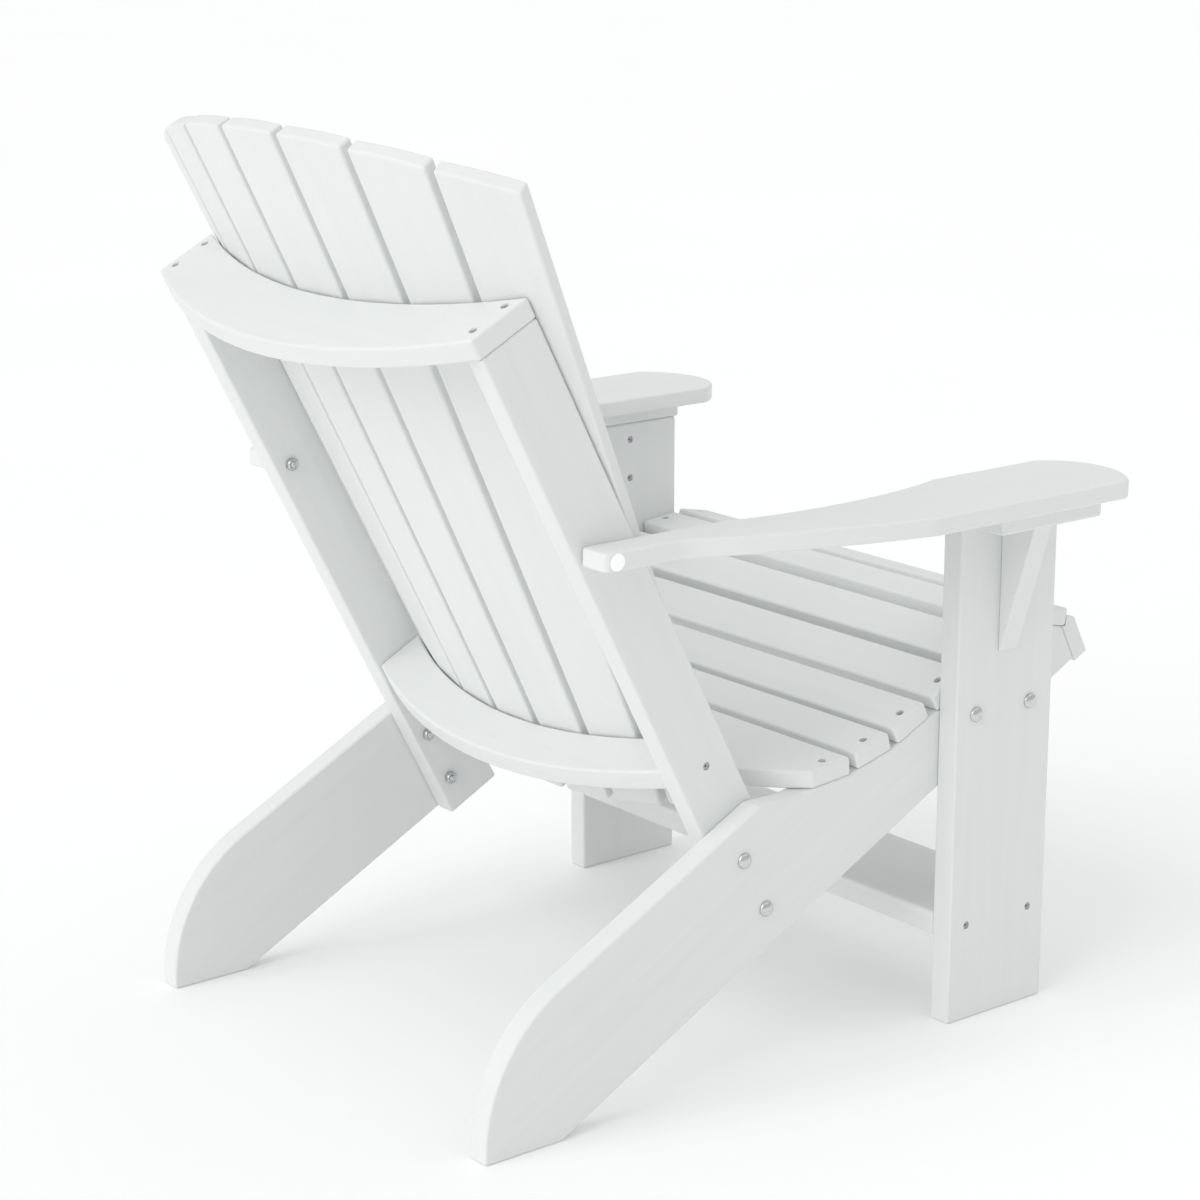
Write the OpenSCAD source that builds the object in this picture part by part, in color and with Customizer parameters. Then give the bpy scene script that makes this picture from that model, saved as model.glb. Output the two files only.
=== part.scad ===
// Adirondack chair: plank frame, slatted seat and a contoured seven-slat fan back.
// Millimetres. +Z is up, the chair faces -Y, +X is the sitter's left.
// Origin: floor level under the centre of the chair's outline.

/* [Main sizes] */
// Distance over the outer faces of the front legs
legs_w = 641.4; // [560:0.1:770]
// Height of the front legs under the arm blocks
leg_h = 537.1; // [440:0.1:645]
// Lean of the back from upright, in degrees
back_angle = 27.5; // [22:0.5:33]
// Length of the middle back slat
slat_len = 786; // [650:1:900]

/* [Boards] */
// Thickness of the legs, side rails, posts, rails and stretcher
frame_t = 26.1; // [20:0.1:32]
// Width of the legs, side rails and stretcher
frame_w = 139.7; // [120:0.1:160]
// Thickness of the seat slats and the apron
seat_t = 19.5; // [15:0.1:24]
// Thickness of the arms and the arm blocks
arm_t = 18.6; // [15:0.1:24]
// Thickness of the back slats
back_t = 16.8; // [12:0.1:20]

/* [Seat] */
// Width of one seat slat
seat_slat_w = 48; // [40:0.5:58]
// Slope of the side rails, in degrees
rail_angle = 27.45; // [25:0.05:30]
// Height of the stretcher's middle above the floor
stretcher_z = 105.9; // [60:0.1:140]

/* [Back] */
// Gap between neighbouring back slats
slat_gap = 9; // [6:0.5:14]
// Reach of the fan past the posts' inner faces, round the lower rail
fan_low = 6.1; // [-18.4:0.1:16.6]
// Reach of the fan past the posts' inner faces, round the upper rail
fan_high = 62.1; // [30.6:0.1:72.6]
// Width of the back posts
post_w = 70; // [56:0.5:84]

/* [Arms] */
// Reach of each arm outside its leg
arm_out = 73; // [60:0.5:90]
// Reach of each arm inside its leg's inner face
arm_in = 32; // [24:0.5:40]
// Overhang of the arms in front of the legs
arm_front = 59; // [40:0.5:80]

/* [Hidden] */
$fn = 48;
fine = 240;
clr = 0.05;
past = 1;

// Side-to-side stations, measured from the chair's middle
leg_out = legs_w / 2;
leg_in = leg_out - frame_t;
rail_in = leg_in - frame_t;
post_in = rail_in - frame_t;

// Working frame: y = 0 at the front faces of the legs
back_y = 430.2;
back_z = 272.1;
foot_y = 630;
foot_back_y = 721.5;

// Back, in its own frame: y rearward and z up along the slats, from the seat line
up_front = -4.5;
up_front_bow = 54.384;
up_rear = 73.5;
up_rear_bow = 61.155;
low_front = 7;
low_front_bow = 58.93;
low_rear = 59.5;
low_rear_bow = 53.591;
low_u = 39.1;
low_t = 24;
slat_foot = -28;
crown_r = 625;
post_foot = -151;
post_front = -59;
slat_ease = 0.7;
slat_n = 7;
pitch_low = 2 * (post_in + fan_low) / slat_n;
pitch_high = 2 * (post_in + fan_high) / slat_n;
low_front_r = bow_r(post_in, low_front_bow);
low_rear_r = bow_r(post_in, low_rear_bow);
up_front_r = bow_r(rail_in, up_front_bow);
up_rear_r = bow_r(rail_in, up_rear_bow);
crown_u = slat_foot + slat_len;
up_t = 22.4;
crown_rise = 178.6;
up_u = crown_u - crown_rise - up_t;

// Arms
arm_z = leg_h + arm_t;
arm_mid_z = arm_z + arm_t / 2;
arm_lean = tan(back_angle);
post_mid_v = post_front + post_w / 2;
arm_post_y = back_y + post_mid_v / cos(back_angle) + (arm_mid_z - back_z) * arm_lean;
bolt_behind_post = 18;
bolt_to_end = 14;
tail_w = 39;
arm_bolt_y = arm_post_y + bolt_behind_post;
arm_end_y = arm_bolt_y + bolt_to_end;
arm_edge = leg_out + arm_out;
arm_tail = rail_in + tail_w;
arm_run = arm_end_y + arm_front;

// Seat: tilt of each slat and the step between their lower corners, front to rear
seat_tilt = [11.3, -5.2, -28.9, -30.9, -25.5, -15];
seat_step = [[2.2, -3.2], [2.5, -6.4], [6.1, -6.6], [12.3, -3.5], [9.2, -3.6], [10.2, -3.1]];
seat_n = len(seat_tilt);
rear_tilt = -5.2;
rear_y = 261.4;
rear_z = 293.8;
rear_end = 52;
rear_bulge = 158.5;
front_slat_w = seat_slat_w - 3;
seat_lead = 15.272;
nose_y = seat_front_pt(0)[0] - seat_lead;

// Fasteners
screw_head_r = 4.2;
screw_head_h = 2.4;
screw_sink = 1.4;
screw_r = 2.1;
screw_len = 45;
arm_screw_len = arm_t + 12;
seat_screw_len = 31;
bolt_r = 4;
bolt_head_r = 8.2;
bolt_head_h = 5;
nut_flat_r = 7.4;
nut_h = 6;
cap_r = 8.4;
cap_h = 1.6;

// ---- small helpers ----

function dir(a) = [cos(a), sin(a)];
function side_norm(a) = [-sin(a), cos(a)];
function mix(a, b, t) = a + (b - a) * t;
function bow_r(half, bow) = (half * half + bow * bow) / (2 * bow);
function curve(p, t) =
  p[0] * pow(1 - t, 3) + p[1] * 3 * t * pow(1 - t, 2) + p[2] * 3 * t * t * (1 - t) + p[3] * pow(t, 3);
function curve_pts(p, n) = [for (i = [1 : n]) curve(p, i / n)];

module placed() {
  translate([0, -y_mid, 0]) children();
}

// Draws on the +X side, or mirrored to the -X side
module sided(side) {
  mirror([side < 0 ? 1 : 0, 0, 0]) children();
}

module both_sides() {
  for (side = [1, -1]) sided(side) children();
}

// Extrudes a side-view outline, drawn as (y, z), along X
module slab_x(x, t) {
  translate([x, 0, 0]) rotate([90, 0, 90]) linear_extrude(t) children();
}

module back_frame() {
  translate([0, back_y, back_z]) rotate([-back_angle, 0, 0]) children();
}

// ---- fasteners: drawn along +Z, head at the top, surface of the board at z = 0 ----

module screw(len = screw_len) {
  translate([0, 0, -screw_sink - screw_head_h]) cylinder(r = screw_head_r, h = screw_head_h);
  translate([0, 0, -len]) cylinder(r = screw_r, h = len - screw_sink - screw_head_h / 2);
}

module screw_hole(len = screw_len) {
  recess = screw_sink + screw_head_h;
  translate([0, 0, -recess]) cylinder(r = screw_head_r + clr, h = recess + past);
  translate([0, 0, -len - clr]) cylinder(r = screw_r + clr, h = len + past);
}

module dome_bolt(len) {
  dome_r = (bolt_head_r * bolt_head_r + bolt_head_h * bolt_head_h) / (2 * bolt_head_h);
  intersection() {
    translate([0, 0, bolt_head_h - dome_r]) sphere(r = dome_r);
    cylinder(r = bolt_head_r, h = bolt_head_h);
  }
  translate([0, 0, -len]) cylinder(r = bolt_r, h = len + bolt_head_h / 2);
}

module bolt_hole(len) {
  translate([0, 0, -len]) cylinder(r = bolt_r + clr, h = len + past);
}

module nut() {
  translate([0, 0, -nut_h]) difference() {
    cylinder(r = nut_flat_r, h = nut_h, $fn = 6);
    translate([0, 0, -past]) cylinder(r = bolt_r + clr, h = nut_h + 2 * past);
  }
}

// ---- fastener stations ----

leg_bolt_y = [33.1, 111.8];
leg_bolt_z = 335.2;
post_bolt_u = [-110.6, -46.6];
post_bolt_v = -6.4;
stretcher_y = [24.5, 116.15];
bracket_z = [19.2, 65.2];
top_screw_v = [-0.5, -40.4];
low_screw_rise = 12.8;
low_screw_u = low_u + low_screw_rise;
low_screw_v = -26.3;
block_y = [30, 110];
arm_screw_y = [28, 112];
apron_screw_w = [12, 34];

module at_leg_bolts() {
  both_sides() for (y = leg_bolt_y) translate([leg_out, y, leg_bolt_z]) rotate([0, 90, 0]) children();
}

module at_post_bolts() {
  both_sides() back_frame() for (u = post_bolt_u)
    translate([leg_in, post_bolt_v, u]) rotate([0, 90, 0]) children();
}

module at_arm_bolts() {
  both_sides() translate([arm_tail, arm_bolt_y, arm_mid_z]) rotate([0, 90, 0]) children();
}

module at_stretcher_screws() {
  both_sides() for (y = stretcher_y) translate([leg_out, y, stretcher_z]) rotate([0, 90, 0]) children();
}

module at_bracket_screws() {
  both_sides() for (z = bracket_z) translate([leg_in, frame_w / 2, leg_h - z]) rotate([0, -90, 0]) children();
}

module at_block_screws() {
  both_sides() for (y = block_y) translate([leg_in + frame_t / 2, y, arm_z]) children();
}

module at_arm_screws() {
  both_sides() for (y = arm_screw_y)
    translate([leg_out + arm_out / 2, y, leg_h]) rotate([180, 0, 0]) children();
}

module at_upper_rail_screws() {
  both_sides() back_frame() for (v = top_screw_v)
    translate([post_in + frame_t / 2, v, up_u + up_t]) children();
}

module at_lower_rail_screws() {
  both_sides() back_frame() translate([rail_in, low_screw_v, low_screw_u]) rotate([0, 90, 0]) children();
}

module at_seat_screws() {
  both_sides() {
    for (i = [0 : seat_n - 1]) translate([leg_in - frame_t / 2, 0, 0]) on_seat(i) children();
    translate([leg_in - frame_t / 2, 0, 0]) on_rear(rear_end / 2) children();
  }
}

module at_apron_screws() {
  both_sides() for (w = apron_screw_w) translate([leg_in - frame_t / 2, 0, 0])
    translate([0, apron_pts()[0][0], apron_pts()[0][1]]) rotate([90 - rail_angle, 0, 0])
      translate([0, w, 0]) children();
}

// ---- frame boards ----

module front_leg(side) {
  color("#E9EBEC") placed() difference() {
    sided(side) translate([leg_in, 0, 0]) cube([frame_t, frame_w, leg_h]);
    at_leg_bolts() bolt_hole(3 * frame_t);
    at_stretcher_screws() screw_hole();
    at_bracket_screws() screw_hole();
    at_block_screws() screw_hole();
  }
}

// Lower corners of seat slat i: front corner, then rear corner
function slat_width(i) = i == 0 ? front_slat_w : seat_slat_w;
function seat_rear_pt(i) =
  (i == seat_n - 1 ? [rear_y, rear_z] : seat_front_pt(i + 1)) - seat_step[i];
function seat_front_pt(i) = seat_rear_pt(i) - slat_width(i) * dir(seat_tilt[i]);
function rear_pt(s) = [rear_y, rear_z] + s * dir(rear_tilt);

rail_top_dz = frame_w / cos(rail_angle);
function rail_low_z(y) = (foot_y - y) * tan(rail_angle);
function rail_top_z(y) = rail_low_z(y) + rail_top_dz;

heel_r = 166;
heel_y = foot_back_y - heel_r;
heel_z = rail_top_z(heel_y) - heel_r / cos(rail_angle);
heel_n = 24;
kink_y = 384;
kink_dip = [345, 284.4];

function heel_pts() =
  [for (i = [heel_n : -1 : 0]) [heel_y, heel_z] + heel_r * dir((90 - rail_angle) * i / heel_n)];
function seat_edge() = [for (i = [0 : seat_n - 1], p = [seat_front_pt(i), seat_rear_pt(i)]) p];

// Front end of the side rail: square to the rail's slope
nose_z = rail_low_z(nose_y);
nose_up = dir(90 - rail_angle);
nose_ahead = dir(180 - rail_angle);

module stringer_outline() {
  difference() {
    polygon(concat(
      [seat_front_pt(0) + 2 * frame_t * nose_ahead],
      seat_edge(),
      [rear_pt(0), rear_pt(rear_end), kink_dip, [kink_y, rail_top_z(kink_y)]],
      heel_pts(),
      [[foot_back_y, 0], [foot_y, 0]],
      [[nose_y, nose_z] + 2 * frame_t * nose_ahead]
    ));
    translate([nose_y, nose_z]) rotate(180 - rail_angle)
      translate([0, -frame_w]) square([frame_w, 2 * frame_w]);
  }
}

module stringer(side) {
  color("#E6E8E9") placed() difference() {
    sided(side) slab_x(rail_in, frame_t) stringer_outline();
    at_leg_bolts() bolt_hole(3 * frame_t);
    at_post_bolts() bolt_hole(3 * frame_t);
    at_seat_screws() screw_hole(seat_screw_len);
    at_apron_screws() screw_hole();
  }
}

module front_stretcher() {
  color("#DFE2E4") placed() difference() {
    translate([-leg_in, 0, stretcher_z - frame_t / 2]) cube([2 * leg_in, frame_w, frame_t]);
    at_stretcher_screws() screw_hole();
  }
}

// ---- seat ----

module on_seat(i) {
  mid = seat_front_pt(i) + slat_width(i) / 2 * dir(seat_tilt[i]) + seat_t * side_norm(seat_tilt[i]);
  translate([0, mid[0], mid[1]]) rotate([seat_tilt[i], 0, 0]) children();
}

module on_rear(s) {
  p = rear_pt(s) + seat_t * side_norm(rear_tilt);
  translate([0, p[0], p[1]]) rotate([rear_tilt, 0, 0]) children();
}

module seat_slat_body(i) {
  on_seat(i) translate([-leg_in, -slat_width(i) / 2, -seat_t]) cube([2 * leg_in, slat_width(i), seat_t]);
}

module seat_slat(k) {
  color("#EEF0F0") placed() difference() {
    seat_slat_body(k - 1);
    at_seat_screws() screw_hole(seat_screw_len);
  }
}

rear_sag = rear_bulge - rear_end;
rear_r = bow_r(leg_in, rear_sag);

module rear_seat_board() {
  color("#EEF0F0") placed() difference() {
    on_rear(0) translate([0, 0, -seat_t]) linear_extrude(seat_t) {
      translate([-leg_in, 0]) square([2 * leg_in, rear_end]);
      intersection() {
        translate([0, rear_bulge - rear_r]) circle(r = rear_r, $fn = fine);
        translate([-leg_in, rear_end / 2]) square([2 * leg_in, rear_bulge]);
      }
    }
    at_seat_screws() screw_hole(seat_screw_len);
  }
}

// Apron section: lower front, lower rear, upper rear and upper front corners
apron_t = 20;
apron_rise = 5.577;
apron_h = (seat_front_pt(0) - [nose_y, nose_z]) * nose_up + apron_rise;
apron_step = 4;
apron_drop = 4.8;
apron_top_tilt = 18.6;
apron_top_w = 11;
function apron_foot() = [nose_y, nose_z] - apron_drop * nose_up;
function apron_pts() = [
  apron_foot() + apron_t * nose_ahead,
  apron_foot(),
  apron_foot() + (apron_h + apron_step) * nose_up,
  apron_foot() + apron_t * nose_ahead + apron_h * nose_up + apron_top_w * dir(apron_top_tilt),
  apron_foot() + apron_t * nose_ahead + apron_h * nose_up
];

module front_apron() {
  color("#E6E8E9") placed() difference() {
    slab_x(-leg_in, 2 * leg_in) polygon(apron_pts());
    seat_slat_body(0);
    at_apron_screws() screw_hole();
  }
}

// ---- back ----

// Turn and rear-face centre of slat k (-3 to 3) at height u, in the back's frame
low_mid_u = low_u + low_t / 2;
up_mid_u = up_u + up_t / 2;
function turn_low(k) = k * pitch_low / low_front_r * 180 / PI;
function turn_high(k) = k * pitch_high / up_front_r * 180 / PI;
function slat_turn(k) = (turn_low(k) + turn_high(k)) / 2;
function slat_w(u) = mix(pitch_low, pitch_high, (u - low_mid_u) / (up_mid_u - low_mid_u)) - slat_gap;
function seated(r, w) = sqrt(r * r - w * w / 4) - slat_ease;
function rim_pt(front, r, turn, w) =
  [seated(r, w) * sin(turn), front - r + seated(r, w) * cos(turn)];
function slat_low(k) = rim_pt(low_front, low_front_r, turn_low(k), slat_w(low_mid_u));
function slat_high(k) = rim_pt(up_front, up_front_r, turn_high(k), slat_w(up_mid_u));
function slat_rear(k, u) = mix(slat_low(k), slat_high(k), (u - low_mid_u) / (up_mid_u - low_mid_u));

// How far slat k's axis drifts rearward and sideways for each millimetre of height, and its true length
function slat_drift(k) = (slat_high(k) - slat_low(k)) / (up_mid_u - low_mid_u);
function rear_drift(k) = slat_drift(k) * [sin(slat_turn(k)), cos(slat_turn(k))];
function side_drift(k) = slat_drift(k) * [cos(slat_turn(k)), -sin(slat_turn(k))];
function slat_stretch(k) = norm([rear_drift(k), side_drift(k), 1]);
function along(k, u) = (u - low_mid_u) * slat_stretch(k);

// Frame of slat k: x across, z up its axis from the lower rail, y rearward with 0 on its rear face
module slat_frame(k) {
  at = slat_low(k);
  translate([at[0], at[1], low_mid_u]) rotate([0, 0, -slat_turn(k)])
    rotate([-atan(rear_drift(k)), 0, 0]) rotate([0, asin(side_drift(k) / slat_stretch(k)), 0]) children();
}

// The slat before its foot and crown are cut, or the room for it with some clearance all round
module slat_blank(k, room = 0) {
  low = slat_foot - slat_gap;
  high = crown_u + slat_gap;
  slat_frame(k) translate([0, room, 0]) rotate([90, 0, 0]) linear_extrude(back_t + 2 * room) polygon([
    [-slat_w(low) / 2 - room, along(k, low)],
    [slat_w(low) / 2 + room, along(k, low)],
    [slat_w(high) / 2 + room, along(k, high)],
    [-slat_w(high) / 2 - room, along(k, high)]
  ]);
}

// Everything above the slats' feet and under their crown
module crown_cut() {
  intersection() {
    translate([0, frame_w, crown_u - crown_r]) rotate([90, 0, 0])
      cylinder(r = crown_r, h = 3 * frame_w, $fn = fine);
    translate([-legs_w, -2 * frame_w, slat_foot]) cube([2 * legs_w, 3 * frame_w, slat_len]);
  }
}

// Screws across a slat, as shares of its width; the outer slats overhang the rails
function slat_screw_share(k) = abs(k) == 3 ? [-sign(k) * 0.165, -sign(k) * 0.385] : [-0.25, 0.25];

module at_slat_screws(k) {
  for (share = slat_screw_share(k), u = [low_mid_u, up_mid_u])
    slat_frame(k) translate([share * slat_w(u), -back_t, along(k, u)]) rotate([90, 0, 0]) children();
}

module back_slat(n) {
  k = n - 4;
  color("#EDEFF0") placed() back_frame() difference() {
    intersection() {
      slat_blank(k);
      crown_cut();
    }
    at_slat_screws(k) screw_hole();
  }
}

module all_slat_holes() {
  for (k = [-3 : 3]) at_slat_screws(k) screw_hole();
}

module rail_outline(front, front_r, rear, rear_r, half_w) {
  intersection() {
    difference() {
      translate([0, rear - rear_r]) circle(r = rear_r, $fn = fine);
      translate([0, front - front_r]) circle(r = front_r, $fn = fine);
    }
    translate([-half_w, -frame_w]) square([2 * half_w, 3 * frame_w]);
  }
}

module upper_back_rail() {
  color("#E6E8E9") placed() difference() {
    back_frame() translate([0, 0, up_u]) linear_extrude(up_t)
      rail_outline(up_front, up_front_r, up_rear, up_rear_r, rail_in);
    at_upper_rail_screws() screw_hole();
    back_frame() all_slat_holes();
  }
}

module lower_back_rail() {
  color("#E6E8E9") placed() difference() {
    back_frame() translate([0, 0, low_u]) linear_extrude(low_t)
      rail_outline(low_front, low_front_r, low_rear, low_rear_r, post_in);
    at_lower_rail_screws() screw_hole();
    back_frame() all_slat_holes();
  }
}

// The posts are bevelled in front so that the outer slats lie flat on them
module back_post(side) {
  color("#E3E5E7") placed() difference() {
    back_frame() sided(side) difference() {
      translate([post_in, post_front, post_foot]) cube([frame_t, post_w, up_u - post_foot]);
      slat_frame(3) translate([-frame_w, -frame_w, slat_foot * 2])
        cube([2 * frame_w, frame_w, crown_u]);
    }
    at_post_bolts() bolt_hole(3 * frame_t);
    at_arm_bolts() bolt_hole(4 * frame_t);
    at_upper_rail_screws() screw_hole();
    at_lower_rail_screws() screw_hole();
  }
}

// ---- arms ----

// Outline of the left arm: round nose, straight outer edge, a sweep in to the narrow tail.
// Its points are [distance outside a line, share of the arm's length].
nose_in = leg_in - arm_in;
nose_in_r = 68;
nose_out_r = 86;
apex_in = 60.4;
nose_round = 4;
nose_steps = 10;
corner_pts = [[2, 3], [0, 6], [0, 10]];
flank_pts = [[0, 0.44], [-8, 0.54]];
sweep_pts = [[45, 0.68], [26, 0.77]];
ease_pts = [[12, 0.82], [0, 0.835], [0, 0.88]];
tip_round = 8;
tip_ease = 3.6;
tip_in_round = 7;
tip_in_ease = 3.1;
root_pts = [[0, 0.735], [22, 0.62], [22, 0.42]];
nose_in_share = 0.288;
nose_apex = [nose_in + apex_in, -arm_front];
nose_in_turn = acos(-apex_in / nose_in_r);
nose_out_turn = acos((arm_edge - nose_round - nose_apex[0]) / nose_out_r);
function nose_pt(r, turn) = nose_apex + [0, r] + r * dir(-turn);
nose_tip = nose_pt(nose_out_r, nose_out_turn);
function arm_y(t) = t * arm_run - arm_front;
function beside(x, pts) = [for (p = pts) [x + p[0], arm_y(p[1])]];
function tip_corner() = [
  [arm_tail, arm_end_y - tip_round],
  [arm_tail, arm_end_y - tip_ease],
  [arm_tail - tip_ease, arm_end_y],
  [arm_tail - tip_round, arm_end_y]
];
function tip_inner() = [
  [rail_in + tip_in_round, arm_end_y],
  [rail_in + tip_in_ease, arm_end_y],
  [rail_in, arm_end_y - tip_in_ease],
  [rail_in, arm_end_y - tip_in_round]
];
function nose_corner() = [for (p = corner_pts) [arm_edge - p[0], nose_tip[1] + p[1]]];
function arm_outline() = concat(
  [for (i = [0 : nose_steps]) nose_pt(nose_in_r, mix(nose_in_turn, 90, i / nose_steps))],
  [for (i = [1 : nose_steps]) nose_pt(nose_out_r, mix(90, nose_out_turn, i / nose_steps))],
  curve_pts(concat([nose_tip], nose_corner()), 5),
  curve_pts(concat(beside(arm_edge, flank_pts), beside(arm_tail, sweep_pts)), 14),
  curve_pts(beside(arm_tail, concat([sweep_pts[1]], ease_pts)), 8),
  [[arm_tail, arm_end_y - tip_round]],
  curve_pts(tip_corner(), 6),
  [tip_inner()[0]],
  curve_pts(tip_inner(), 6),
  [[rail_in, arm_y(root_pts[0][1])]],
  curve_pts(concat(beside(rail_in, root_pts), [[nose_in, arm_y(nose_in_share)]]), 16)
);

module arm(side) {
  color("#EFF1F1") placed() difference() {
    sided(side) translate([0, 0, arm_z]) linear_extrude(arm_t) polygon(arm_outline());
    sided(side) back_frame() slat_blank(3, slat_ease);
    at_arm_bolts() bolt_hole(4 * frame_t);
    at_arm_screws() screw_hole(arm_screw_len);
  }
}

block_inset = 18;
block_w = arm_out + frame_t - block_inset;
block_nose = 4.5;

module arm_block(side) {
  color("#E6E8E9") placed() difference() {
    sided(side) translate([leg_in, -block_nose, leg_h]) cube([block_w, frame_w + block_nose, arm_t]);
    at_arm_screws() screw_hole(arm_screw_len);
    at_block_screws() screw_hole();
  }
}

bracket_h = 139;
bracket_out = 46;
bracket_tip = 3;

module arm_bracket(side) {
  color("#E6E8E9") placed() difference() {
    sided(side) translate([leg_out, (frame_w + frame_t) / 2, 0]) rotate([90, 0, 0])
      linear_extrude(frame_t) polygon([
        [0, leg_h],
        [bracket_out, leg_h],
        [bracket_tip, leg_h - bracket_h],
        [0, leg_h - bracket_h]
      ]);
    at_bracket_screws() screw_hole();
  }
}

// ---- fastener groups ----

module leg_bolts() {
  color("#C9CCCE") placed() at_leg_bolts() dome_bolt(2 * frame_t + nut_h);
}

module leg_bolt_nuts() {
  color("#B9BCBF") placed() at_leg_bolts() translate([0, 0, -2 * frame_t]) nut();
}

module post_bolts() {
  color("#C9CCCE") placed() at_post_bolts() dome_bolt(2 * frame_t + nut_h);
}

module post_bolt_nuts() {
  color("#B9BCBF") placed() at_post_bolts() translate([0, 0, -2 * frame_t]) nut();
}

arm_bolt_len = arm_tail - post_in + nut_h;

module arm_bolts() {
  color("#C9CCCE") placed() at_arm_bolts()
    translate([0, 0, -arm_bolt_len]) cylinder(r = bolt_r, h = arm_bolt_len);
}

module arm_bolt_nuts() {
  color("#B9BCBF") placed() at_arm_bolts() translate([0, 0, post_in - arm_tail]) nut();
}

module arm_bolt_caps() {
  color("#E9EBEC") placed() at_arm_bolts() cylinder(r = cap_r, h = cap_h);
}

module seat_screws() {
  color("#8E9296") placed() at_seat_screws() screw(seat_screw_len);
}

module apron_screws() {
  color("#8E9296") placed() at_apron_screws() screw();
}

module stretcher_screws() {
  color("#8E9296") placed() at_stretcher_screws() screw();
}

module bracket_screws() {
  color("#8E9296") placed() at_bracket_screws() screw();
}

module block_screws() {
  color("#8E9296") placed() at_block_screws() screw();
}

module arm_screws() {
  color("#8E9296") placed() at_arm_screws() screw(arm_screw_len);
}

module upper_rail_screws() {
  color("#8E9296") placed() at_upper_rail_screws() screw();
}

module lower_rail_screws() {
  color("#8E9296") placed() at_lower_rail_screws() screw();
}

module back_slat_screws() {
  color("#8E9296") placed() back_frame() for (k = [-3 : 3]) at_slat_screws(k) screw();
}

// Half the depth of the whole chair, used to centre it on the origin
crown_y = back_y + crown_u * sin(back_angle) + slat_rear(0, crown_u)[1] * cos(back_angle);
apron_front = apron_pts()[0][0];
y_mid = (crown_y + apron_front) / 2;

front_leg(1);  // front_leg_left
front_leg(-1);  // front_leg_right
stringer(1);  // stringer_left
stringer(-1);  // stringer_right
back_post(1);  // back_post_left
back_post(-1);  // back_post_right
arm(1);  // arm_left
arm(-1);  // arm_right
arm_block(1);  // arm_block_left
arm_block(-1);  // arm_block_right
arm_bracket(1);  // arm_bracket_left
arm_bracket(-1);  // arm_bracket_right
upper_back_rail();
lower_back_rail();
back_slat(1);  // back_slat_1
back_slat(2);  // back_slat_2
back_slat(3);  // back_slat_3
back_slat(4);  // back_slat_4
back_slat(5);  // back_slat_5
back_slat(6);  // back_slat_6
back_slat(7);  // back_slat_7
seat_slat(1);  // seat_slat_1
seat_slat(2);  // seat_slat_2
seat_slat(3);  // seat_slat_3
seat_slat(4);  // seat_slat_4
seat_slat(5);  // seat_slat_5
seat_slat(6);  // seat_slat_6
rear_seat_board();
front_apron();
front_stretcher();
leg_bolts();
leg_bolt_nuts();
post_bolts();
post_bolt_nuts();
arm_bolts();
arm_bolt_nuts();
arm_bolt_caps();
seat_screws();
apron_screws();
stretcher_screws();
bracket_screws();
block_screws();
arm_screws();
upper_rail_screws();
lower_rail_screws();
back_slat_screws();
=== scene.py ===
"""Adirondack chair of recycled plastic planks: looks, light and camera round the CAD part."""

import math

import bmesh
import bpy
import numpy as np
from mathutils import Matrix, Vector


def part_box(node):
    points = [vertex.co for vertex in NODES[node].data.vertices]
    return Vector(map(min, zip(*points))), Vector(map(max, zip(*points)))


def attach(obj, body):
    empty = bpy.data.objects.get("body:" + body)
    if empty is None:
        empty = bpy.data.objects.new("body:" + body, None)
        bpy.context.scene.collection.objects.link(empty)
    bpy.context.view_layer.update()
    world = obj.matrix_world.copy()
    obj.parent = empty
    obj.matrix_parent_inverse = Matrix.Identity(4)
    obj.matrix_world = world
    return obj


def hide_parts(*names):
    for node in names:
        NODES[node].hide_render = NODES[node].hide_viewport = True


# Viewpoint, in the part's frame: metres, degrees and the lens in millimetres
CAMERA_AT = (-2.3920, 1.9100, 1.2341)
CAMERA_AZIMUTH = 231.463
CAMERA_ELEVATION = 14.741
CAMERA_LENS = 90.24
CAMERA_SENSOR = 36.0

# Rounding of the boards' edges, in metres
EDGE_RADIUS = 0.003
EDGE_SEGMENTS = 4
EDGE_ANGLE = math.radians(24)
EDGE_PROFILE = 0.5
WELD = 0.00002

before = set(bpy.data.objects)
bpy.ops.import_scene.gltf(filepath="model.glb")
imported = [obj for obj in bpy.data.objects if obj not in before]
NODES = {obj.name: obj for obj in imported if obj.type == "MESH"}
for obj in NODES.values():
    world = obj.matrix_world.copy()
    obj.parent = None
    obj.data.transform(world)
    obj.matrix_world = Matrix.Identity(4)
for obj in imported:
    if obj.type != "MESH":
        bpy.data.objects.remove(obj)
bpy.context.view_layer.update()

BACK_LEAN = math.radians(27.5)
RAIL_SLOPE = math.radians(27.45)
AXIS_X = (1.0, 0.0, 0.0)
AXIS_Y = (0.0, 1.0, 0.0)
AXIS_Z = (0.0, 0.0, 1.0)
AXIS_BACK = (0.0, math.sin(BACK_LEAN), math.cos(BACK_LEAN))
AXIS_RAIL = (0.0, math.cos(RAIL_SLOPE), -math.sin(RAIL_SLOPE))


# ---- node helpers ----

EDGE_SAMPLES = 6


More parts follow.
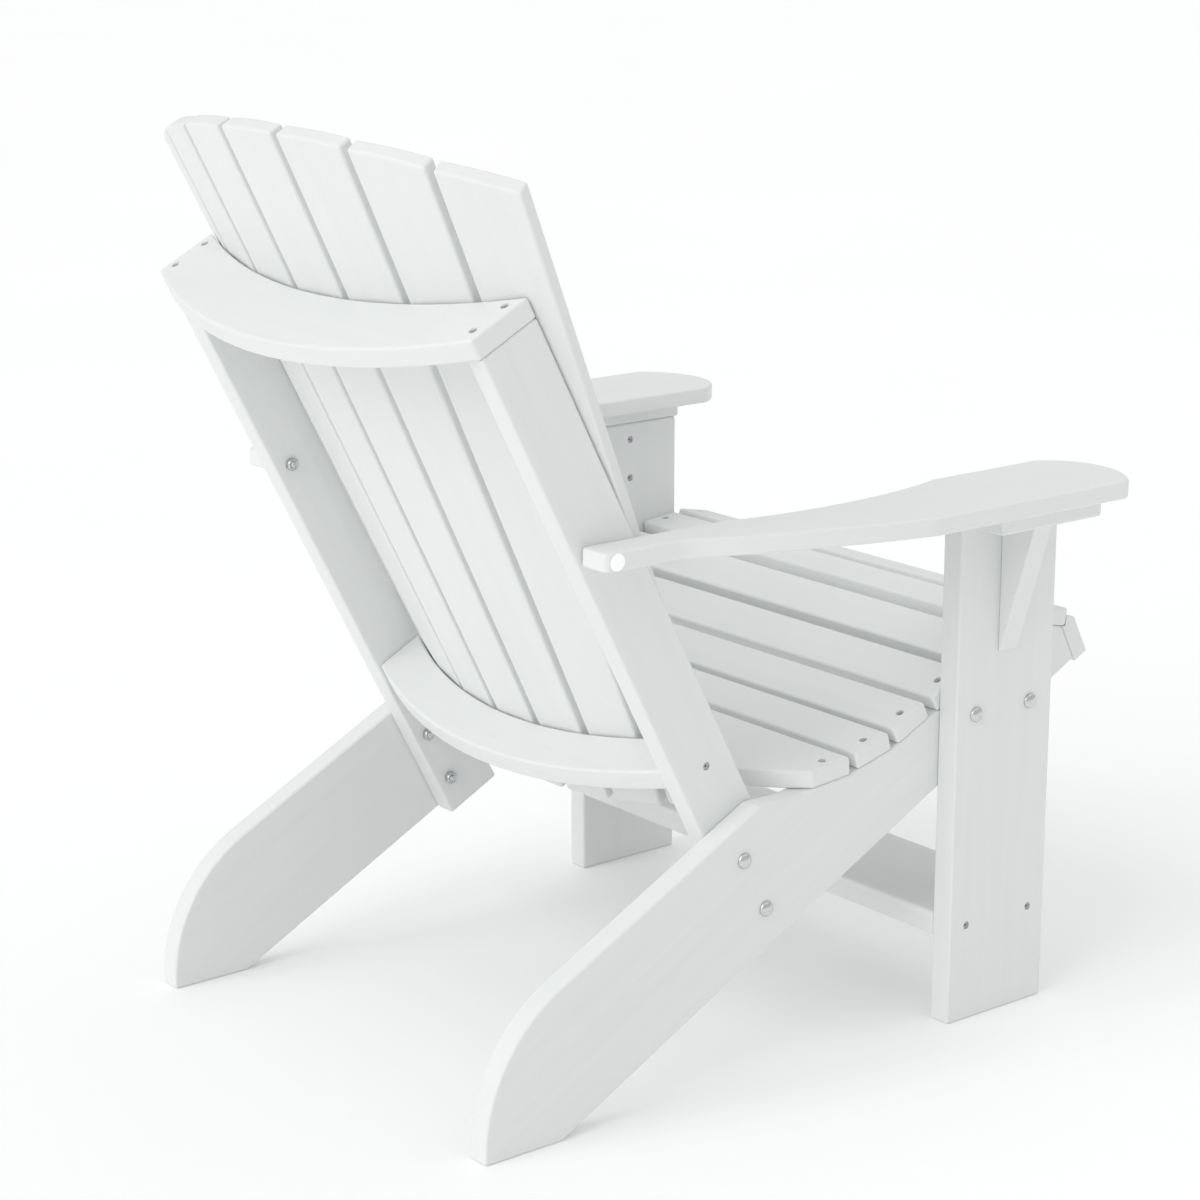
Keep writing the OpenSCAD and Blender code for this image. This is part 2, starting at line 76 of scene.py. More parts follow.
class Nodes:
    """Builds one material's node tree."""

    def __init__(self, name):
        self.material = bpy.data.materials.new(name)
        self.material.use_nodes = True
        self.tree = self.material.node_tree
        self.tree.nodes.clear()
        self.out = self.tree.nodes.new("ShaderNodeOutputMaterial")
        self.bsdf = self.tree.nodes.new("ShaderNodeBsdfPrincipled")
        self.link(self.bsdf.outputs[0], self.out.inputs["Surface"])

    def link(self, source, target):
        self.tree.links.new(source, target)

    def put(self, value, target):
        """Links a socket, or sets a constant."""
        if isinstance(value, bpy.types.NodeSocket):
            self.link(value, target)
        else:
            target.default_value = value

    def coords(self):
        return self.tree.nodes.new("ShaderNodeTexCoord").outputs["Object"]

    def mapping(self, vector, scale=(1.0, 1.0, 1.0), turn=(0.0, 0.0, 0.0), shift=(0.0, 0.0, 0.0)):
        node = self.tree.nodes.new("ShaderNodeMapping")
        self.link(vector, node.inputs["Vector"])
        node.inputs["Scale"].default_value = scale
        node.inputs["Rotation"].default_value = turn
        node.inputs["Location"].default_value = shift
        return node.outputs[0]

    def noise(self, vector, scale, detail, rough, distort=0.0):
        node = self.tree.nodes.new("ShaderNodeTexNoise")
        self.link(vector, node.inputs["Vector"])
        node.inputs["Scale"].default_value = scale
        node.inputs["Detail"].default_value = detail
        node.inputs["Roughness"].default_value = rough
        node.inputs["Distortion"].default_value = distort
        return node.outputs["Fac"]

    def ramp(self, value, low, high, from_value=0.0, to_value=1.0):
        """Maps value from low..high to from_value..to_value, clamped."""
        node = self.tree.nodes.new("ShaderNodeMapRange")
        self.link(value, node.inputs["Value"])
        node.inputs["From Min"].default_value = low
        node.inputs["From Max"].default_value = high
        node.inputs["To Min"].default_value = from_value
        node.inputs["To Max"].default_value = to_value
        return node.outputs["Result"]

    def add(self, first, second):
        node = self.tree.nodes.new("ShaderNodeMath")
        node.operation = "ADD"
        self.put(first, node.inputs[0])
        self.put(second, node.inputs[1])
        return node.outputs[0]

    def mix(self, share, first, second):
        node = self.tree.nodes.new("ShaderNodeMix")
        node.data_type = "RGBA"
        self.put(share, node.inputs["Factor"])
        self.put(first, node.inputs["A"])
        self.put(second, node.inputs["B"])
        return node.outputs["Result"]

    def bump(self, height, strength, distance, normal=None):
        node = self.tree.nodes.new("ShaderNodeBump")
        node.inputs["Strength"].default_value = strength
        node.inputs["Distance"].default_value = distance
        self.link(height, node.inputs["Height"])
        if normal is not None:
            self.link(normal, node.inputs["Normal"])
        return node.outputs[0]

    def edge(self, radius):
        """1 on flat areas, falling where the surface turns within radius."""
        bevel = self.tree.nodes.new("ShaderNodeBevel")
        bevel.samples = EDGE_SAMPLES
        bevel.inputs["Radius"].default_value = radius
        geometry = self.tree.nodes.new("ShaderNodeNewGeometry")
        dot = self.tree.nodes.new("ShaderNodeVectorMath")
        dot.operation = "DOT_PRODUCT"
        self.link(bevel.outputs[0], dot.inputs[0])
        self.link(geometry.outputs["Normal"], dot.inputs[1])
        return dot.outputs["Value"]


def turn_to_x(axis):
    """Euler angles that turn the given axis onto X, for a texture drawn along X."""
    return Vector(axis).rotation_difference(Vector(AXIS_X)).to_euler()


# ---- materials ----

HDPE = (0.812, 0.824, 0.818, 1.0)
HDPE_COOL = (0.782, 0.797, 0.792, 1.0)
# Pale tone: used for the fine streaks and the cap's clouds, and as the painted highlight on rounded
# edges
HDPE_PALE_AND_HIGHLIGHT = (0.865, 0.872, 0.868, 1.0)
CAP_WHITE = (0.940, 0.940, 0.936, 1.0)
HDPE_IOR = 1.46

# Noise: (scale, detail, roughness). Relief: (strength, depth in metres).
STREAK_NOISE = (2.2, 4.0, 0.55)
STREAK_DISTORTION = 0.4
STREAK_STRETCH = (1.0, 26.0, 26.0)
STREAK_RELIEF = (0.16, 0.0016)
FINE_NOISE = (2.0, 3.0, 0.6)
FINE_STRETCH = (3.0, 182.0, 182.0)
FINE_RELIEF = (0.14, 0.0005)
CLOUD_NOISE = (3.2, 2.0, 0.5)
SPECK_NOISE = (900.0, 2.0, 0.6)
SPECK_RELIEF = (0.08, 0.0002)
SEED_SHIFT = (1.37, 0.71, 2.13)


def plank_material(name, axis, seed):
    """Extruded recycled plastic: cool white, faint streaks along the board, satin, with a painted
    highlight that lightens the rounded edges.
    """
    n = Nodes(name)
    shift = tuple(seed * step for step in SEED_SHIFT)
    turned = n.mapping(n.coords(), turn=turn_to_x(axis), shift=shift)
    streak = n.noise(n.mapping(turned, scale=STREAK_STRETCH), *STREAK_NOISE, STREAK_DISTORTION)
    fine = n.noise(n.mapping(turned, scale=FINE_STRETCH), *FINE_NOISE)
    cloud = n.noise(turned, *CLOUD_NOISE)
    speck = n.noise(turned, *SPECK_NOISE)
    colour = n.mix(n.ramp(streak, 0.3, 0.7), HDPE_COOL, HDPE)
    colour = n.mix(n.ramp(cloud, 0.35, 0.65, 0.0, 0.35), colour, HDPE)
    colour = n.mix(n.ramp(fine, 0.55, 0.8, 0.0, 0.25), colour, HDPE_PALE_AND_HIGHLIGHT)
    # Painted highlight: the rounded edges are lightened towards the pale tone
    painted_edge_highlight = n.ramp(n.edge(EDGE_RADIUS), 0.86, 0.995, 0.6, 0.0)
    n.put(n.mix(painted_edge_highlight, colour, HDPE_PALE_AND_HIGHLIGHT), n.bsdf.inputs["Base Color"])
    streaked = n.ramp(streak, 0.3, 0.7, 0.40, 0.50)
    specked = n.ramp(speck, 0.3, 0.7, -0.03, 0.03)
    n.put(n.add(streaked, specked), n.bsdf.inputs["Roughness"])
    n.bsdf.inputs["IOR"].default_value = HDPE_IOR
    relief = n.bump(streak, *STREAK_RELIEF)
    relief = n.bump(fine, *FINE_RELIEF, relief)
    relief = n.bump(speck, *SPECK_RELIEF, relief)
    n.put(relief, n.bsdf.inputs["Normal"])
    return n.material


# Colour of the painted highlight on steel edges
PAINTED_STEEL_HIGHLIGHT = (0.92, 0.92, 0.91, 1.0)
DULLED = 0.62
TURNED_NOISE = (2600.0, 3.0, 0.6)
BLOTCH_NOISE = (420.0, 3.0, 0.5)
STEEL_EDGE = 0.0006
TURNED_DEPTH = 0.00008


def metal_material(name, colour, rough, marks):
    """Steel: fine turned marks, dull blotches, and a painted highlight that lightens the edges."""
    n = Nodes(name)
    at = n.coords()
    mark = n.noise(at, *TURNED_NOISE)
    blotch = n.noise(at, *BLOTCH_NOISE)
    dull = tuple(c * DULLED for c in colour[:3]) + (1.0,)
    shade = n.mix(n.ramp(blotch, 0.4, 0.75, 0.0, 0.45), colour, dull)
    # Painted highlight: the edges are lightened towards a bright steel
    painted_edge_highlight = n.ramp(n.edge(STEEL_EDGE), 0.8, 0.99, 0.35, 0.0)
    n.put(n.mix(painted_edge_highlight, shade, PAINTED_STEEL_HIGHLIGHT), n.bsdf.inputs["Base Color"])
    n.bsdf.inputs["Metallic"].default_value = 1.0
    n.put(n.ramp(mark, 0.3, 0.7, rough * 0.8, rough * 1.25), n.bsdf.inputs["Roughness"])
    n.put(n.bump(mark, marks, TURNED_DEPTH), n.bsdf.inputs["Normal"])
    return n.material


CAP_CLOUD_NOISE = (60.0, 2.0, 0.5)
CAP_GRAIN_NOISE = (1800.0, 2.0, 0.6)
CAP_RELIEF = (0.06, 0.0001)
# Strength of the cap's painted glow
CAP_PAINTED_GLOW = 0.16


def cap_material():
    """Smooth moulded plastic, a purer white than the planks, with a faint painted glow that makes it
    read brighter.
    """
    n = Nodes("cap_plastic")
    at = n.coords()
    cloud = n.noise(at, *CAP_CLOUD_NOISE)
    grain = n.noise(at, *CAP_GRAIN_NOISE)
    n.put(n.mix(n.ramp(cloud, 0.3, 0.7, 0.0, 0.3), CAP_WHITE, HDPE_PALE_AND_HIGHLIGHT), n.bsdf.inputs["Base Color"])
    n.put(n.ramp(grain, 0.3, 0.7, 0.26, 0.34), n.bsdf.inputs["Roughness"])
    n.put(n.bump(grain, *CAP_RELIEF), n.bsdf.inputs["Normal"])
    # Painted glow: the cap emits a little light so it reads brighter than it is lit
    n.bsdf.inputs["Emission Color"].default_value = CAP_WHITE
    n.bsdf.inputs["Emission Strength"].default_value = CAP_PAINTED_GLOW
    return n.material


FLOOR_WHITE = (0.960, 0.960, 0.960, 1.0)
FLOOR_LIGHT = (0.970, 0.970, 0.970, 1.0)
FLOOR_NOISE = (0.8, 2.0, 0.5)
FLOOR_GLOW = 0.06


def floor_material():
    n = Nodes("studio_floor")
    cloud = n.noise(n.coords(), *FLOOR_NOISE)
    n.put(n.ramp(cloud, 0.3, 0.7, 0.66, 0.72), n.bsdf.inputs["Roughness"])
    n.put(n.mix(cloud, FLOOR_WHITE, FLOOR_LIGHT), n.bsdf.inputs["Base Color"])
    n.bsdf.inputs["Emission Color"].default_value = (1.0, 1.0, 1.0, 1.0)
    n.bsdf.inputs["Emission Strength"].default_value = FLOOR_GLOW
    return n.material


# ---- boards ----

GRAIN = {
    "front_leg_left": AXIS_Z, "front_leg_right": AXIS_Z,
    "stringer_left": AXIS_RAIL, "stringer_right": AXIS_RAIL,
    "back_post_left": AXIS_BACK, "back_post_right": AXIS_BACK,
    "arm_left": AXIS_Y, "arm_right": AXIS_Y,
    "arm_block_left": AXIS_Y, "arm_block_right": AXIS_Y,
    "arm_bracket_left": AXIS_Z, "arm_bracket_right": AXIS_Z,
    "upper_back_rail": AXIS_X, "lower_back_rail": AXIS_X,
    "rear_seat_board": AXIS_X, "front_apron": AXIS_X, "front_stretcher": AXIS_X,
}
for count in range(1, 8):
    GRAIN[f"back_slat_{count}"] = AXIS_BACK
for count in range(1, 7):
    GRAIN[f"seat_slat_{count}"] = AXIS_X


# Sides to loft between, where it isn't the widest one
FLAT_SIDE = {
    "arm_bracket_left": AXIS_Y, "arm_bracket_right": AXIS_Y, "front_apron": AXIS_X,
}
FLATNESS = 0.9999
FLAT_REACH = 0.00005
STRAIGHT = math.radians(0.05)
SHORT_RUN = 0.007


def welded(name):
    """A copy of a CAD node's mesh with its split corners joined."""
    shape = bmesh.new()
    shape.from_mesh(NODES[name].data)
    bmesh.ops.remove_doubles(shape, verts=shape.verts, dist=WELD)
    shape.normal_update()
    return shape


def widest_side(shape):
    """The direction that the board's largest flat side faces."""
    areas = {}
    for face in shape.faces:
        key = tuple(round(abs(c), 2) for c in face.normal)
        area, normal = areas.get(key, (0.0, face.normal))
        areas[key] = (area + face.calc_area(), normal)
    return max(areas.values(), key=lambda pair: pair[0])[1].copy()


def walk(rim):
    """Splits rim edges into closed loops of points."""
    beside = {}
    for edge in rim:
        first, second = edge.verts
        beside.setdefault(first, []).append(second)
        beside.setdefault(second, []).append(first)
    loops, seen = [], set()
    for start in beside:
        if start in seen:
            continue
        loop, here = [], start
        while here is not None and here not in seen:
            seen.add(here)
            loop.append(here.co.copy())
            here = next((v for v in beside[here] if v not in seen), None)
        loops.append(loop)
    return loops


def spread(loop):
    return max((point - loop[0]).length for point in loop)


def outer_loop(shape, direction):
    """Outline of the flat side that faces direction, without the holes in it."""
    reach = max(direction.dot(v.co) for v in shape.verts)
    flat = {
        f for f in shape.faces
        if f.normal.dot(direction) > FLATNESS
        and abs(direction.dot(f.calc_center_median()) - reach) < FLAT_REACH
    }
    rim = [e for e in shape.edges if sum(f in flat for f in e.link_faces) == 1]
    return max(walk(rim), key=spread)


def turns(loop):
    """How far the outline turns at each of its points."""
    size = len(loop)
    return [
        (loop[i] - loop[i - 1]).angle(loop[(i + 1) % size] - loop[i])
        for i in range(size)
    ]


def tidy_loop(loop, axis):
    """Drops points on straight lines, and makes the loop run the same way round axis."""
    loop = [point for point, turn in zip(loop, turns(loop)) if turn > STRAIGHT]
    middle = sum(loop, Vector()) / len(loop)
    area = sum(
        (loop[i - 1] - middle).cross(loop[i] - middle).dot(axis) for i in range(len(loop))
    )
    return loop if area > 0 else loop[::-1]


def runs_of(loop):
    """The outline as runs of points from one corner to the next."""
    corners = [i for i, turn in enumerate(turns(loop)) if turn > EDGE_ANGLE]
    size = len(loop)
    runs = []
    for here, there in zip(corners, corners[1:] + [corners[0] + size]):
        runs.append([loop[i % size] for i in range(here, there + 1)])
    return runs


def run_length(run):
    return sum((b - a).length for a, b in zip(run, run[1:]))


def resampled(run, count):
    """The run as count even steps."""
    if len(run) == count + 1:
        return run
    total, points, done, at = run_length(run), [run[0]], 0.0, 0
    for step in range(1, count):
        goal = total * step / count
        while done + (run[at + 1] - run[at]).length < goal:
            done += (run[at + 1] - run[at]).length
            at += 1
        share = (goal - done) / (run[at + 1] - run[at]).length
        points.append(run[at].lerp(run[at + 1], share))
    return points + [run[-1]]


def paired(low, high, axis):
    """The two outlines point for point, and which of their points are hard corners."""
    first, second = runs_of(low), runs_of(high)

    def gap(run):
        away = run[0] - first[0][0]
        return (away - away.dot(axis) * axis).length

    start = min(range(len(second)), key=lambda i: gap(second[i]))
    second = second[start:] + second[:start]
    lower, upper, hard = [], [], set()
    for a, b in zip(first, second):
        count = max(len(a), len(b)) - 1
        if run_length(a) < SHORT_RUN:
            hard.update((len(lower), len(lower) + count))
        lower += resampled(a, count)[:-1]
        upper += resampled(b, count)[:-1]
    return lower, upper, {i % len(lower) for i in hard}


def loft(name):
    """A clean solid between a board's two wide sides, without its screw holes."""
    shape = welded(name)
    axis = Vector(FLAT_SIDE.get(name) or widest_side(shape))
    low = tidy_loop(outer_loop(shape, -axis), axis)
    high = tidy_loop(outer_loop(shape, axis), axis)
    shape.free()
    low, high, hard = paired(low, high, axis)
    made = bmesh.new()
    size = len(low)
    bottom = [made.verts.new(point) for point in low]
    top = [made.verts.new(point) for point in high]
    made.faces.new(bottom[::-1])
    made.faces.new(top)
    for i in range(size):
        j = (i + 1) % size
        made.faces.new((bottom[i], bottom[j], top[j], top[i]))
    made.normal_update()
    kept = {v for i in hard for v in (bottom[i], top[i])}
    return made, kept


def soften(shape, kept):
    """Rounds every sharp edge, apart from the short steps under the seat slats."""
    sharp = [e for e in shape.edges if e.calc_face_angle(0.0) > EDGE_ANGLE]
    for edge in sharp:
        edge.smooth = False
    soft = [e for e in sharp if not (e.verts[0] in kept and e.verts[1] in kept)]
    for edge in soft:
        edge.smooth = True
    bmesh.ops.bevel(
        shape, geom=soft, offset=EDGE_RADIUS, segments=EDGE_SEGMENTS, profile=EDGE_PROFILE,
        affect="EDGES", clamp_overlap=True, miter_outer="ARC",
    )
    for face in shape.faces:
        face.smooth = True


def as_object(shape, name):
    mesh = bpy.data.meshes.new(name)
    shape.to_mesh(mesh)
    shape.free()
    made = bpy.data.objects.new(name, mesh)
    bpy.context.scene.collection.objects.link(made)
    return made


def bored(board, cutter):
    """The board's mesh with the screw recesses cut out."""
    cut = board.modifiers.new("recess", "BOOLEAN")
    cut.operation = "DIFFERENCE"
    cut.solver = "EXACT"
    cut.object = cutter
    bpy.context.view_layer.update()
    graph = bpy.context.evaluated_depsgraph_get()
    mesh = bpy.data.meshes.new_from_object(board.evaluated_get(graph))
    board.modifiers.clear()
    board.data = mesh


def finish_piece(piece, node, material):
    piece.data.materials.clear()
    piece.data.materials.append(material)
    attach(piece, "root")
    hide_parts(node)


def add_boards(cutters):
    for seed, (name, axis) in enumerate(sorted(GRAIN.items())):
        shape, kept = loft(name)
        soften(shape, kept)
        board = as_object(shape, name + "_plank")
        low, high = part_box(name)
        near = [spot for spot in cutters if inside(spot[0], low, high)]
        if near:
            cutter = recess_cutter(near)
            bored(board, cutter)
            bpy.data.objects.remove(cutter)
        weighted = board.modifiers.new("shading", "WEIGHTED_NORMAL")
        weighted.keep_sharp = True
        finish_piece(board, name, plank_material("plank_" + name, axis, seed + 1))


# ---- fasteners: drawn along +Z with the board's surface at 0 ----

# How far outside a board's box its screws may start, in metres
MARGIN = 0.0015

# Millimetres from here on, and MM turns them into metres
MM = 0.001
SCREW_SINK = 1.4
SCREW_HEAD = 2.4
SCREW_RADIUS = 4.2
SHAFT_RADIUS = 2.1
BOLT_RADIUS = 4.0
BOLT_HEAD = 8.2
BOLT_RISE = 5.0
NUT_RADIUS = 7.4
NUT_HEIGHT = 6.0
CAP_RADIUS = 8.4
CAP_RISE = 1.6
CAP_DOMED = 0.7
THREAD_PAST = 1.2
TURN_STEPS = 24
HIDDEN_BOLT_STEPS = 32
BOLT_STEPS = 48
CAP_STEPS = 64
SMOOTHING = 30
RECESS_PAST = 0.3
HEX = 6
# Threads: pitch and depth, then where they start and stop
SCREW_THREAD = (2.6, 0.55)
SCREW_PLAIN = 4.0
SCREW_POINT = 4.0
BOLT_THREAD = (1.25, 0.45)
BOLT_THREADED = 26.0
BOLT_CHAMFER = 1.6


def inside(point, low, high):
    return all(a - MARGIN < c < b + MARGIN for a, c, b in zip(low, point, high))


def islands(name):
    """The separate solids of a fastener group, as lists of points."""
    shape = welded(name)
    left, found = set(shape.verts), []
    while left:
        todo, group = [left.pop()], []
        while todo:
            vert = todo.pop()
            group.append(vert.co.copy())
            for edge in vert.link_edges:
                other = edge.other_vert(vert)
                if other in left:
                    left.remove(other)
                    todo.append(other)
        found.append(group)
    shape.free()
    return found


def screw_spot(points):
    """(point on the board's surface, outward direction, length in mm) of one screw."""
    cloud = np.array([tuple(p) for p in points])
    middle = cloud.mean(axis=0)
    axis = np.linalg.svd(cloud - middle, full_matrices=False)[2][0]
    along = (cloud - middle) @ axis
    away = np.linalg.norm(cloud - middle - np.outer(along, axis), axis=1)
    head = along[away > (SHAFT_RADIUS + SCREW_RADIUS) / 2 * MM]
    if head.mean() < (along.max() + along.min()) / 2:
        axis, along, head = -axis, -along, -head
    surface = middle + axis * (head.max() + SCREW_SINK * MM)
    length = (head.max() - along.min()) / MM + SCREW_SINK
    return Vector(surface), Vector(axis), length


def recess_cutter(spots):
    """Cylinders that cut the screws' recesses."""
    shape = bmesh.new()
    deep = SCREW_SINK + SCREW_HEAD
    for surface, out, _ in spots:
        ring = [(SCREW_RADIUS, RECESS_PAST, 0, 0), (SCREW_RADIUS, -deep, 0, 0)]
        lathe(shape, ring, placed(surface, out))
    return as_object(shape, "recess_cutter")


def placed(surface, out):
    turn = Vector(AXIS_Z).rotation_difference(out).to_matrix().to_4x4()
    return Matrix.Translation(surface) @ turn @ Matrix.Scale(MM, 4)


def hexed(radius, angle, share):
    """Radius of a circle drawn towards a hexagon of that corner radius."""
    flat = math.cos(math.pi / HEX)
    sector = (angle % (2 * math.pi / HEX)) - math.pi / HEX
    return radius * (1 - share + share * flat / math.cos(sector))


def lathe(shape, rings, matrix, steps=TURN_STEPS):
    """Turns a closed profile of (radius, height, hexagon share, lobe depth) round +Z."""
    rows = []
    for radius, height, share, lobe in rings:
        row = []
        for i in range(steps):
            angle = 2 * math.pi * i / steps
            r = hexed(radius, angle, share) + lobe * math.cos(HEX * angle)
            point = Vector((r * math.cos(angle), r * math.sin(angle), height))
            row.append(shape.verts.new(matrix @ point))
        rows.append(row)
    for upper, lower in zip(rows, rows[1:]):
        for i in range(steps):
            j = (i + 1) % steps
            face = shape.faces.new((upper[i], lower[i], lower[j], upper[j]))
            face.smooth = True
    for row, height in ((rows[0], rings[0][1]), (rows[-1][::-1], rings[-1][1])):
        tip = shape.verts.new(matrix @ Vector((0, 0, height)))
        for i in range(steps):
            face = shape.faces.new((row[i], row[(i + 1) % steps], tip))
            face.smooth = True


def thread(radius, top, bottom, pitch, depth):
    """Ridges of a screw thread from top down to bottom."""
    rings, height = [], top
    while height - pitch > bottom:
        rings.append((radius, height, 0, 0))
        rings.append((radius - depth, height - pitch / 2, 0, 0))
        height -= pitch
    return rings


def screw_rings(length):
    """Countersunk head with a six-lobed drive, and a threaded shaft with a point."""
    top = -SCREW_SINK
    neck = top - SCREW_HEAD
    socket = [
        (0.9, top - 1.7, 0, 0.15),
        (1.35, top - 1.55, 0, 0.28),
        (1.55, top - 0.12, 0, 0.32),
        (1.95, top, 0, 0.1),
    ]
    head = [
        (3.7, top, 0, 0),
        (4.0, top - 0.08, 0, 0),
        (4.15, top - 0.3, 0, 0),
        (4.0, top - 0.6, 0, 0),
        (SHAFT_RADIUS, neck, 0, 0),
    ]
    shaft = thread(SHAFT_RADIUS, neck - SCREW_PLAIN, SCREW_POINT - length, *SCREW_THREAD)
    return socket + head + shaft + [(1.5, 3.0 - length, 0, 0), (0.25, -length, 0, 0)]


def bolt_rings(length, headed):
    """Domed head with a thin rim, plain shank and a threaded end with a chamfer."""
    dome = [(BOLT_HEAD * math.sin(a), BOLT_RISE * math.cos(a) ** 0.9, 0, 0)
            for a in [math.radians(8 + 76 * i / 9) for i in range(10)]]
    rim = [(BOLT_HEAD, 0.45, 0, 0), (BOLT_HEAD, 0.05, 0, 0)]
    start = dome + rim if headed else []
    shank = [(BOLT_RADIUS, 0.0, 0, 0)]
    ridges = thread(BOLT_RADIUS, BOLT_THREADED - length, BOLT_CHAMFER - length, *BOLT_THREAD)
    return start + shank + ridges + [(BOLT_RADIUS - 0.2, 0.9 - length, 0, 0), (3.0, -length, 0, 0)]


def nut_rings():
    """Hexagon with chamfered corners and a nylon collar; z = 0 is its outer end."""
    flat = NUT_RADIUS * math.cos(math.pi / HEX)
    return [
        (BOLT_RADIUS + 0.3, -0.5, 0, 0),
        (BOLT_RADIUS + 0.5, 0.0, 0, 0),
        (flat - 0.9, -0.05, 0, 0),
        (flat - 0.35, -0.55, 0, 0),
        (flat - 0.35, -1.3, 0, 0),
        (flat, -1.5, 0, 0),
        (NUT_RADIUS, -2.1, 1, 0),
        (NUT_RADIUS, 0.5 - NUT_HEIGHT, 1, 0),
        (flat, -NUT_HEIGHT, 0, 0),
    ]


def cap_rings():
    """Low domed plug with a rounded rim."""
    dome = [(CAP_RADIUS * math.sin(a), CAP_DOMED * CAP_RISE * math.cos(a) ** 0.8, 0, 0)
            for a in [math.radians(10 + 72 * i / 7) for i in range(8)]]
    return dome + [(CAP_RADIUS, 0.12, 0, 0), (CAP_RADIUS - 0.2, -0.02, 0, 0)]


def x_spot(points):
    """(centre of the outer end, outward direction, length in mm) of a part that lies along X."""
    low = Vector([min(p[i] for p in points) for i in range(3)])
    high = Vector([max(p[i] for p in points) for i in range(3)])
    side = 1.0 if low.x + high.x > 0 else -1.0
    middle = (low + high) / 2
    end = high.x if side > 0 else low.x
    return Vector((end, middle.y, middle.z)), Vector((side, 0, 0)), (high.x - low.x) / MM


def add_group(name, material, spots_rings, steps=TURN_STEPS):
    shape = bmesh.new()
    for surface, out, rings in spots_rings:
        lathe(shape, rings, placed(surface, out), steps)
    piece = as_object(shape, name + "_set")
    weighted = piece.modifiers.new("shading", "WEIGHTED_NORMAL")
    weighted.weight = SMOOTHING
    finish_piece(piece, name, material)


STEEL = (0.67, 0.68, 0.69, 1.0)
NUT_STEEL = (0.62, 0.63, 0.64, 1.0)
DULL_STEEL = (0.52, 0.53, 0.54, 1.0)
# Roughness and strength of the turned marks
BOLT_FINISH = (0.24, 0.05)
NUT_FINISH = (0.26, 0.10)
SCREW_FINISH = (0.42, 0.20)
SCREW_GROUPS = [name for name in NODES if name.endswith("_screws")]


def add_screws(spots, material):
    for name in SCREW_GROUPS:
        add_group(name, material, [(s, o, screw_rings(n)) for s, o, n in spots[name]])


def add_bolts(bolt, nut, cap):
    for name in ("leg_bolts", "post_bolts"):
        spots = [x_spot(points) for points in islands(name)]
        rings = [
            (s - o * BOLT_RISE * MM, o, bolt_rings(n - BOLT_RISE + THREAD_PAST, True))
            for s, o, n in spots
        ]
        add_group(name, bolt, rings, BOLT_STEPS)
    spots = [x_spot(points) for points in islands("arm_bolts")]
    rings = [(s, o, bolt_rings(n + THREAD_PAST, False)) for s, o, n in spots]
    add_group("arm_bolts", bolt, rings, HIDDEN_BOLT_STEPS)
    for name in ("leg_bolt_nuts", "post_bolt_nuts", "arm_bolt_nuts"):
        spots = [x_spot(points) for points in islands(name)]
        inner = [(s - o * n * MM, -o, nut_rings()) for s, o, n in spots]
        add_group(name, nut, inner, BOLT_STEPS)
    spots = [x_spot(points) for points in islands("arm_bolt_caps")]
    caps = [(s - o * CAP_RISE * MM, o, cap_rings()) for s, o, _ in spots]
    add_group("arm_bolt_caps", cap, caps, CAP_STEPS)


def add_chair():
    spots = {name: [screw_spot(points) for points in islands(name)] for name in SCREW_GROUPS}
    add_boards([spot for group in spots.values() for spot in group])
    add_screws(spots, metal_material("screw_steel", DULL_STEEL, *SCREW_FINISH))
    add_bolts(
        metal_material("bolt_steel", STEEL, *BOLT_FINISH),
        metal_material("nut_steel", NUT_STEEL, *NUT_FINISH),
        cap_material(),
    )


# ---- stage ----

FLOOR_HALF = 30.0
SKY = (0.985, 0.992, 1.0, 1.0)
SKY_STRENGTH = 0.65
# Azimuth, elevation, strength and spread of the two soft suns
KEY_SUN = (0.0, 35.0, 1.12, 50.0)
TOP_SUN = (180.0, 75.0, 0.46, 90.0)
NEAREST = 0.05
FARTHEST = 100.0


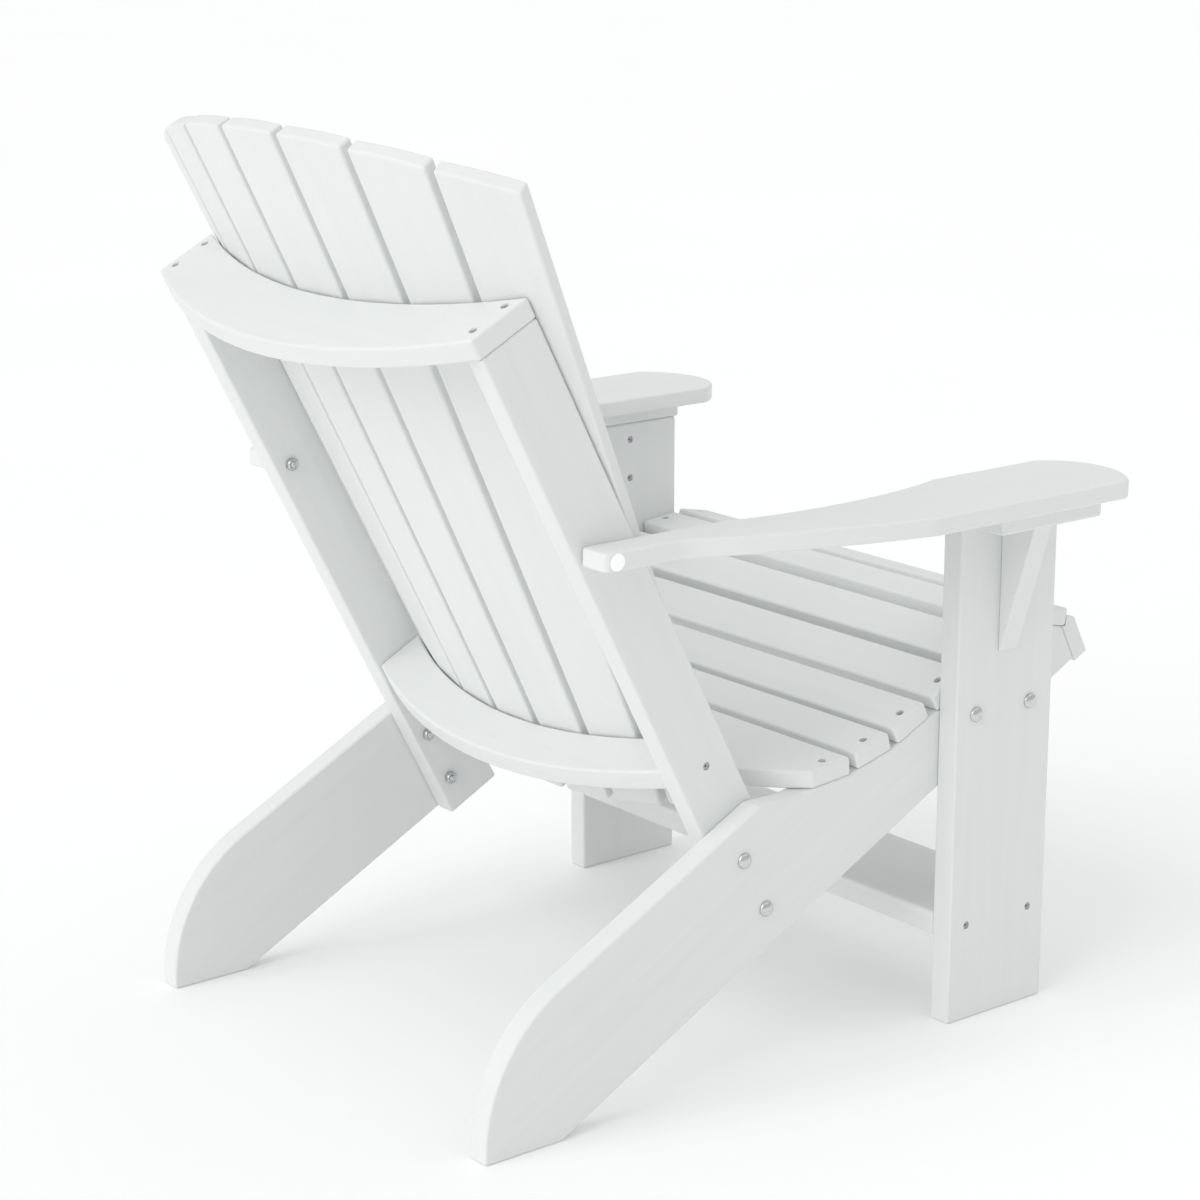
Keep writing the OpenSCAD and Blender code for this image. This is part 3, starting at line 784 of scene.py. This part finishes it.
def add_floor():
    mesh = bpy.data.meshes.new("floor")
    corners = [(-1, -1), (1, -1), (1, 1), (-1, 1)]
    mesh.from_pydata([(x * FLOOR_HALF, y * FLOOR_HALF, 0) for x, y in corners], [], [(0, 1, 2, 3)])
    floor = bpy.data.objects.new("floor", mesh)
    bpy.context.scene.collection.objects.link(floor)
    mesh.materials.append(floor_material())


def aimed(at, target):
    return (Vector(target) - Vector(at)).to_track_quat("-Z", "Y").to_euler()


def add_sun(name, azimuth, elevation, strength, spread_angle):
    """Soft directional light. Azimuth 0 comes from +Y and 90 from -X, in degrees."""
    data = bpy.data.lights.new(name, "SUN")
    data.energy = strength
    data.angle = math.radians(spread_angle)
    lamp = bpy.data.objects.new(name, data)
    turn, rise = math.radians(azimuth), math.radians(elevation)
    at = (-math.sin(turn) * math.cos(rise), math.cos(turn) * math.cos(rise), math.sin(rise))
    lamp.rotation_euler = aimed(at, (0.0, 0.0, 0.0))
    bpy.context.scene.collection.objects.link(lamp)


def add_light():
    bpy.context.scene.view_settings.view_transform = "Standard"
    world = bpy.data.worlds.new("studio")
    world.use_nodes = True
    background = world.node_tree.nodes["Background"]
    background.inputs["Color"].default_value = SKY
    background.inputs["Strength"].default_value = SKY_STRENGTH
    bpy.context.scene.world = world
    add_sun("key_rear", *KEY_SUN)
    add_sun("overhead", *TOP_SUN)


def add_camera():
    data = bpy.data.cameras.new("photo_view")
    data.lens = CAMERA_LENS
    data.sensor_width = CAMERA_SENSOR
    data.clip_start = NEAREST
    data.clip_end = FARTHEST
    camera = bpy.data.objects.new("photo_view", data)
    azimuth = math.radians(CAMERA_AZIMUTH)
    elevation = math.radians(CAMERA_ELEVATION)
    ahead = Vector((
        -math.sin(azimuth) * math.cos(elevation),
        math.cos(azimuth) * math.cos(elevation),
        -math.sin(elevation),
    ))
    camera.location = CAMERA_AT
    camera.rotation_euler = ahead.to_track_quat("-Z", "Y").to_euler()
    bpy.context.scene.collection.objects.link(camera)
    bpy.context.scene.camera = camera


add_chair()
add_floor()
add_light()
add_camera()
